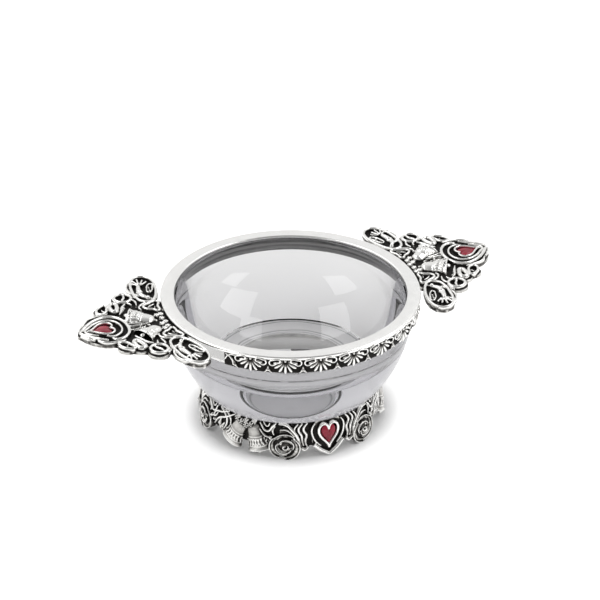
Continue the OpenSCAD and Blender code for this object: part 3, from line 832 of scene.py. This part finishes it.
def band_shape():
    """The casting of one band, centred on +X."""
    lines = []
    for i in range(band_motifs):
        lines += fan_lines(motif_place(i))
    near_end = -band_half * collar_r
    lines.append(line([(near_end + 1.2, -0.8), (near_end + 3.6, -2.6), (near_end + 4.4, -5.2)], 0.9, 1.3))
    lines.append(line([(near_end + 0.8, -3.6), (near_end + 2.6, -1.2), (near_end + 5.4, -0.9)], 0.7, 1.2))
    shape = line_shape(lines)
    for i in range(band_motifs):
        add_bead(shape, motif_place(i), -0.9, 1.3, 1.6)
    for vert in shape.verts:
        vert.co.z = max(vert.co.z, -0.3)
        vert.co.y = min(vert.co.y, 0)
    bent(shape, on_collar)
    strip = bmesh.new()
    back_r = collar_r + solder
    corners = [(back_r, 0, rim_low.z), (band_ground, 0, rim_low.z), (band_ground, 0, band_top),
               (back_r, 0, band_top)]
    face = strip.faces.new([strip.verts.new(c) for c in corners])
    swing(strip, -band_half)
    bmesh.ops.spin(strip, geom=[face] + list(face.edges) + list(face.verts), axis=(0, 0, 1), cent=(0, 0, 0),
                   angle=2 * band_half, steps=96)
    bmesh.ops.remove_doubles(strip, verts=strip.verts, dist=1e-4)
    bmesh.ops.holes_fill(strip, edges=strip.edges)
    bmesh.ops.recalc_face_normals(strip, faces=strip.faces)
    merge(shape, strip)
    return cast("band", shape, band_voxel)


for name, node, angle in (("front_gallery", "front_band", -90), ("back_gallery", "back_band", 90)):
    shape = band_shape()
    swing(shape, math.radians(angle))
    piece = mesh_piece(name, shape, relief_metal)
    antique(piece, lambda place: np.hypot(place[:, 0], place[:, 1]) - band_ground, band_relief, band_shade)
    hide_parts(node)


# Foot

def on_foot(p):
    """A place on the foot's wall from a flat drawing: along it from a heart, up from the table, outwards."""
    a = p.x / foot_r
    r = foot_skin(p.y) + p.z
    return Vector((r * math.cos(a), r * math.sin(a), p.y))


rose_petals = ((-1.0, 0.2, 3.9, 118, 292, 2.0, 1.7), (0.5, -0.7, 3.9, -100, 62, 2.2, 1.9),
               (0.2, 0.6, 3.9, 38, 140, 1.8, 1.55), (-0.5, 0.3, 2.3, 150, 345, 1.3, 2.3),
               (0.5, 0.4, 2.2, -30, 165, 1.3, 2.15))


def rose_lines(x, y, k):
    """A rose: overlapping petals with thin turned edges round a curled middle. k mirrors it."""
    lines = []
    for cx, cy, r, start, end, width, height in rose_petals:
        face = [(x + k * a, y + b) for a, b in coil(cx, cy, r, r, start, end, 6)]
        edge = [(x + k * a, y + b) for a, b in coil(cx, cy, r + 0.3 * width, r + 0.5 * width, start, end, 6)]
        lines.append(spindle(face, width, height, 0.4, 0.7))
        lines.append(line(edge, 0.42, height + 0.3))
    middle = coil(0, 0.3, 0.3, 1.3, 60, 400, 9)
    lines.append(line([(x + k * a, y + b) for a, b in middle], 0.5, 2.8))
    return lines


def garland_lines():
    """Raised lines of one third of the garland: u along the wall from its heart, v up from the table."""
    lines = []
    for k in (-1, 1):
        for i, shift in enumerate((0, 1.9, 3.5)):
            fold = [(7.7 + shift, 14.9), (9.2 + shift, 12.2), (8.1 + shift, 9.6), (8.6 + 0.6 * shift, 7.0),
                    (8.2 + 0.5 * shift, 5.2)]
            lines.append(line([(k * a, b) for a, b in fold], 1.1 - 0.15 * i, 1.2 + 0.15 * i))
        lines.append(spindle([(k * 7.4, 5.0), (k * 8.8, 3.8), (k * 10.4, 4.6)], 1.8, 1.9, 0.6, 0.8))
        lines += rose_lines(k * 16.0, 5.2, -k)
        # Petals that sweep over the rose
        lines.append(line([(k * 18.4, 14.9), (k * 15.8, 14.6), (k * 13.2, 12.0), (k * 11.2, 8.2),
                           (k * 10.4, 4.2)], 1.2, 1.8))
        lines.append(line([(k * 18.0, 12.4), (k * 15.2, 12.2), (k * 12.6, 9.6)], 0.7, 1.7))
        lines.append(line([(k * 19.6, 13.6), (k * 20.6, 11.4), (k * 20.0, 9.6)], 0.8, 1.3))
        # Folded ribbon
        lines.append(line([(k * 25.4, 14.6), (k * 22.6, 11.2), (k * 20.4, 13.6), (k * 19.2, 15.0)], 0.9, 1.5))
        lines.append(line([(k * 24.2, 15.0), (k * 22.6, 13.2), (k * 21.6, 14.8)], 0.7, 1.2))
        lines.append(line([(k * 25.6, 11.8), (k * 23.4, 9.0), (k * 21.6, 8.6)], 0.8, 1.3))
        lines.append(spindle([(k * 21.6, 6.6), (k * 22.8, 7.4), (k * 24.2, 7.2)], 2.0, 1.5))
    lines += [
        line([(-36.0, 14.8), (-40.2, 11.8), (-44.4, 9.4), (-46.8, 6.0)], 0.9, 1.4),
        line([(-38.6, 15.0), (-42.8, 12.8), (-46.4, 11.4), (-48.0, 8.4)], 0.8, 1.3),
        line([(27.0, 15.0), (29.8, 12.4), (30.4, 9.2), (29.0, 6.0)], 0.9, 1.3),
        line([(29.4, 15.0), (32.0, 12.2), (32.4, 9.0)], 0.8, 1.2),
        spindle([(-41.4, 8.6), (-42.6, 6.4), (-42.4, 4.6)], 1.6, 1.4),
        spindle([(27.0, 9.8), (26.2, 7.2), (26.8, 4.8)], 1.6, 1.3),
    ]
    # Heart tile's ridges and point
    for k in (-1, 1):
        lines.append(line([(k * 5.0, 15.0), (k * 6.2, 12.6), (k * 6.0, 9.4), (k * 4.6, 6.6),
                           (k * 2.9, 4.9)], 0.7, tile_t + 1.1))
        lines.append(line([(k * 5.7, 5.9), (k * 3, 3.1), (0, 0.9)], 1.7, tile_t + 1.6 + 0.05 * k, False, 0.9))
    border = [(x, foot_heart_v + y) for x, y in heart_line(foot_heart[0] + 1.7, foot_heart[1] + 2.0, 24)]
    lines.append(line(border, 1.05, tile_t + 1.45, True))
    return lines


foot_bell = (11.2, 9.6, 3.0)
foot_bells = [((-28.8, 13.2), -72), ((-32.6, 13.0), -117)]


def garland_shape():
    """One third of the garland, about a heart at angle 0."""
    shape = line_shape(garland_lines())
    for crown, turn in foot_bells:
        add_bell(shape, crown, turn, *foot_bell)
        merge(shape, line_shape(bell_hatch(crown, turn, *foot_bell)))
    for k in (-1, 1):
        add_bead(shape, k * 16.0, 5.2, 10.2, 1.5)
        add_bead(shape, k * 15.2, 11.2, 5.0, 1.1, 7.0, -k * 40)
        add_bead(shape, k * 21.4, 8.4, 1.9, 1.7)
    for x, y in ((-31.0, 13.9), (-29.2, 12.8), (-33.0, 13.0), (-31.0, 11.9), (-34.6, 14.2), (-27.6, 14.4)):
        add_flower(shape, x, y, 2.4, 2.6)
    tile = [(4.6, 15.0), (6.5, 12.4), (6.4, 9.0), (5.9, 5.6), (0, 0), (-5.9, 5.6), (-6.4, 9.0),
            (-6.5, 12.4), (-4.6, 15.0)]
    add_slab(shape, tile, -0.8, tile_t)
    for vert in shape.verts:
        vert.co.y = min(max(vert.co.y, 0), foot_h)
        vert.co.z = max(vert.co.z, -1.2)
    bent(shape, on_foot)
    return cast("garland", shape, garland_voxel)


wall_low = foot_skin(foot_lift)
wall_in = wall_low - foot_wall
foot_outline = [(ledge_r, foot_h - ledge_t), (ledge_r, foot_h), (foot_r, foot_h),
                (wall_low, foot_lift + foot_chamfer), (wall_low - foot_chamfer, foot_lift),
                (wall_in + foot_chamfer, foot_lift), (wall_in, foot_lift + foot_chamfer),
                (foot_r - foot_wall, foot_h - ledge_t)]
wall = mesh_piece("foot_ring", turned(foot_outline, foot_steps), relief_metal)
for polygon in wall.data.polygons:
    polygon.use_smooth = False
polish = wall.data.attributes.new("polish", "FLOAT", "POINT")
for vert, value in zip(wall.data.vertices, polish.data):
    outer = math.hypot(vert.co.x, vert.co.y) > (foot_r - 0.1) * MM
    value.value = blackened if outer else 1
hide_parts("foot")

garland = garland_shape()
for side, angle in zip(("front", "right", "left"), heart_angles):
    shape = garland.copy()
    swing(shape, math.radians(angle))
    piece = mesh_piece(f"garland_{side}", shape, relief_metal)
    antique(piece, lambda place: np.hypot(place[:, 0], place[:, 1]) - foot_skin(place[:, 2]),
            garland_relief, garland_shade)
    # The seat round the glass is set to a bright polish
    for vert, value in zip(piece.data.vertices, piece.data.attributes["polish"].data):
        if vert.co.z > (foot_h - seat_edge) * MM:
            value.value = seat_polish
garland.free()


# Stage, light and camera

floor_half = 6
paper_white = 0.88
# The floor's glow: none within shadow_r of the axis, full at white_r, at strength white_lift
shadow_r = 34 * MM
white_r = 45 * MM
white_lift = 0.5
room_level = 0.7
window_height = 0.52
window_power = 7
view_azimuth = math.radians(-23.84)
view_elevation = math.radians(29.71)
view_distance = 0.8
view_right = 0.00359
view_down = 0.003753

floor_mesh = bpy.data.meshes.new("floor")
floor_shape = bmesh.new()
bmesh.ops.create_grid(floor_shape, x_segments=1, y_segments=1, size=floor_half)
floor_shape.to_mesh(floor_mesh)
floor_shape.free()
floor = bpy.data.objects.new("floor", floor_mesh)
bpy.context.scene.collection.objects.link(floor)
paper, nodes, links, shader = new_material("white_paper")
shader.inputs["Base Color"].default_value = (paper_white, paper_white, paper_white, 1)
shader.inputs["Roughness"].default_value = 0.9
shader.inputs["Emission Color"].default_value = (1, 1, 1, 1)
path = nodes.new("ShaderNodeLightPath")
where = nodes.new("ShaderNodeTexCoord")
away = nodes.new("ShaderNodeVectorMath")
away.operation = "LENGTH"
links.new(where.outputs["Object"], away.inputs[0])
# Away from the foot the paper glows, lifted to white in the camera and in reflections, which washes out the
# bowl's broad shadow there; by the foot it keeps its shadow, and it does not glow where it is seen through
# the glass
white = faded(nodes, links, away.outputs["Value"], shadow_r, white_r, 0, white_lift)
seen = worked(nodes, links, "MAXIMUM", path.outputs["Is Camera Ray"], path.outputs["Is Glossy Ray"])
seen_plain = worked(nodes, links, "SUBTRACT", seen, path.outputs["Is Transmission Ray"])
links.new(worked(nodes, links, "MULTIPLY", seen_plain, white), shader.inputs["Emission Strength"])
floor.data.materials.append(paper)

world = bpy.data.worlds.new("studio")
bpy.context.scene.world = world
world.use_nodes = True
nodes = world.node_tree.nodes
links = world.node_tree.links
background = nodes["Background"]
background.inputs["Color"].default_value = (1, 1, 1, 1)
path = nodes.new("ShaderNodeLightPath")
where = nodes.new("ShaderNodeTexCoord")
parts = nodes.new("ShaderNodeSeparateXYZ")
links.new(where.outputs["Generated"], parts.inputs["Vector"])


def chosen(factor, plain, other):
    """One level or another, by a factor."""
    mix = nodes.new("ShaderNodeMix")
    links.new(factor, mix.inputs["Factor"])
    for socket, value in ((mix.inputs["A"], plain), (mix.inputs["B"], other)):
        if isinstance(value, (int, float)):
            socket.default_value = value
        else:
            links.new(value, socket)
    return mix.outputs["Result"]


# The studio's walls are darker overhead and towards the viewer's side
dark_above = faded(nodes, links, parts.outputs["Z"], 0.6, 0.95, 0.9, 0.4)
dark_in_front = faded(nodes, links, parts.outputs["Y"], 0.1, -0.9, 1, 0.35)
walls = worked(nodes, links, "MULTIPLY", dark_above, dark_in_front)
lit = chosen(path.outputs["Is Glossy Ray"], room_level, walls)
plain, through = path.outputs["Is Camera Ray"], path.outputs["Is Transmission Ray"]
seen_white = worked(nodes, links, "MAXIMUM", plain, through)
links.new(chosen(seen_white, lit, 1), background.inputs["Strength"])

level_share = math.cos(view_elevation)
back = Vector((math.sin(view_azimuth) * level_share, -math.cos(view_azimuth) * level_share,
               math.sin(view_elevation)))
right = Vector((math.cos(view_azimuth), math.sin(view_azimuth), 0))
up = back.cross(right)


def window_pane(name, out, along, width, length):
    """One pane of the soft windows overhead: how far out to the right of the view and along it, in metres."""
    lamp = bpy.data.lights.new(name, "AREA")
    lamp.shape = "RECTANGLE"
    lamp.size = width
    lamp.size_y = length
    lamp.energy = window_power * width * length
    holder = bpy.data.objects.new(name, lamp)
    bpy.context.scene.collection.objects.link(holder)
    ahead = Vector((-right.y, right.x, 0))
    holder.location = out * right + along * ahead + Vector((0, 0, window_height))
    holder.rotation_euler = (0, 0, view_azimuth)
    holder.visible_transmission = False


window_pane("right_near_pane", 0.62, -0.2, 0.38, 0.3)
window_pane("right_mid_pane", 0.33, 0.13, 0.28, 0.32)
window_pane("right_far_pane", 0.18, 0.39, 0.12, 0.3)
window_pane("left_near_pane", -0.44, -0.12, 0.34, 0.3)
window_pane("left_far_pane", -0.22, 0.33, 0.18, 0.42)

camera = bpy.data.cameras.new("camera")
camera.sensor_width = 36
camera.lens = 125.03
camera.clip_start = 0.01
viewer = bpy.data.objects.new("camera", camera)
bpy.context.scene.collection.objects.link(viewer)
viewer.location = Vector((0, 0, rim_z * MM)) + view_distance * back + view_right * right - view_down * up
viewer.rotation_euler = back.to_track_quat("Z", "Y").to_euler()
bpy.context.scene.camera = viewer
bpy.context.scene.view_settings.view_transform = "Standard"
